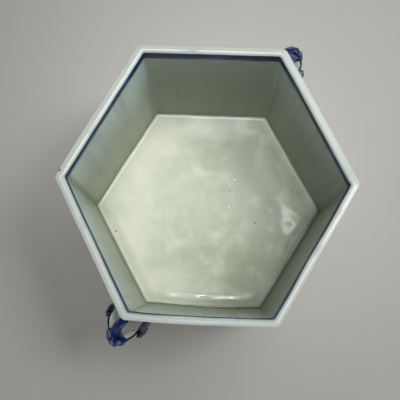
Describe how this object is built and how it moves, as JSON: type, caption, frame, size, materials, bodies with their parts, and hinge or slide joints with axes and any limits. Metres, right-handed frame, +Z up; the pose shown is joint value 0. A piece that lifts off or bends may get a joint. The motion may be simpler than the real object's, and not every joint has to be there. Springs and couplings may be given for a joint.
{
  "type": "hexagonal incense burner",
  "caption": "Hexagonal slab-built porcelain incense burner, an open tapering basin with a rounded rim, bracket feet at the corners and beast-head lugs at two opposite corners.",
  "frame": {"origin": "on the table, under the middle of the basin", "axes": "+Z up, X across two opposite corners of the mouth, +Y towards the back side; the handles stand at the back right and front left corners"},
  "size_m": [0.2384, 0.2694, 0.108],
  "materials": {
    "celadon_glaze": "clear glossy glaze with a pale green cast over grey-white porcelain",
    "cobalt_glaze": "cobalt painting under the same clear glossy glaze"
  },
  "bodies": {
    "root": {"wall_right_back": "celadon_glaze", "wall_back": "celadon_glaze", "wall_left_back": "celadon_glaze", "wall_left_front": "celadon_glaze", "wall_front": "celadon_glaze", "wall_right_front": "celadon_glaze", "floor_slab": "celadon_glaze", "seam_coil": "celadon_glaze", "rim_strip": "celadon_glaze", "bracket_foot_1": "celadon_glaze", "bracket_foot_2": "celadon_glaze", "bracket_foot_3": "celadon_glaze", "bracket_foot_4": "celadon_glaze", "bracket_foot_5": "celadon_glaze", "bracket_foot_6": "celadon_glaze", "back_handle_head": "cobalt_glaze", "back_handle_brow_strap": "cobalt_glaze", "back_handle_left_ear": "cobalt_glaze", "back_handle_left_ribbon": "cobalt_glaze", "back_handle_right_ear": "cobalt_glaze", "back_handle_right_ribbon": "cobalt_glaze", "front_handle_head": "cobalt_glaze", "front_handle_brow_strap": "cobalt_glaze", "front_handle_left_ear": "cobalt_glaze", "front_handle_left_ribbon": "cobalt_glaze", "front_handle_right_ear": "cobalt_glaze", "front_handle_right_ribbon": "cobalt_glaze"}
  },
  "joints": []
}
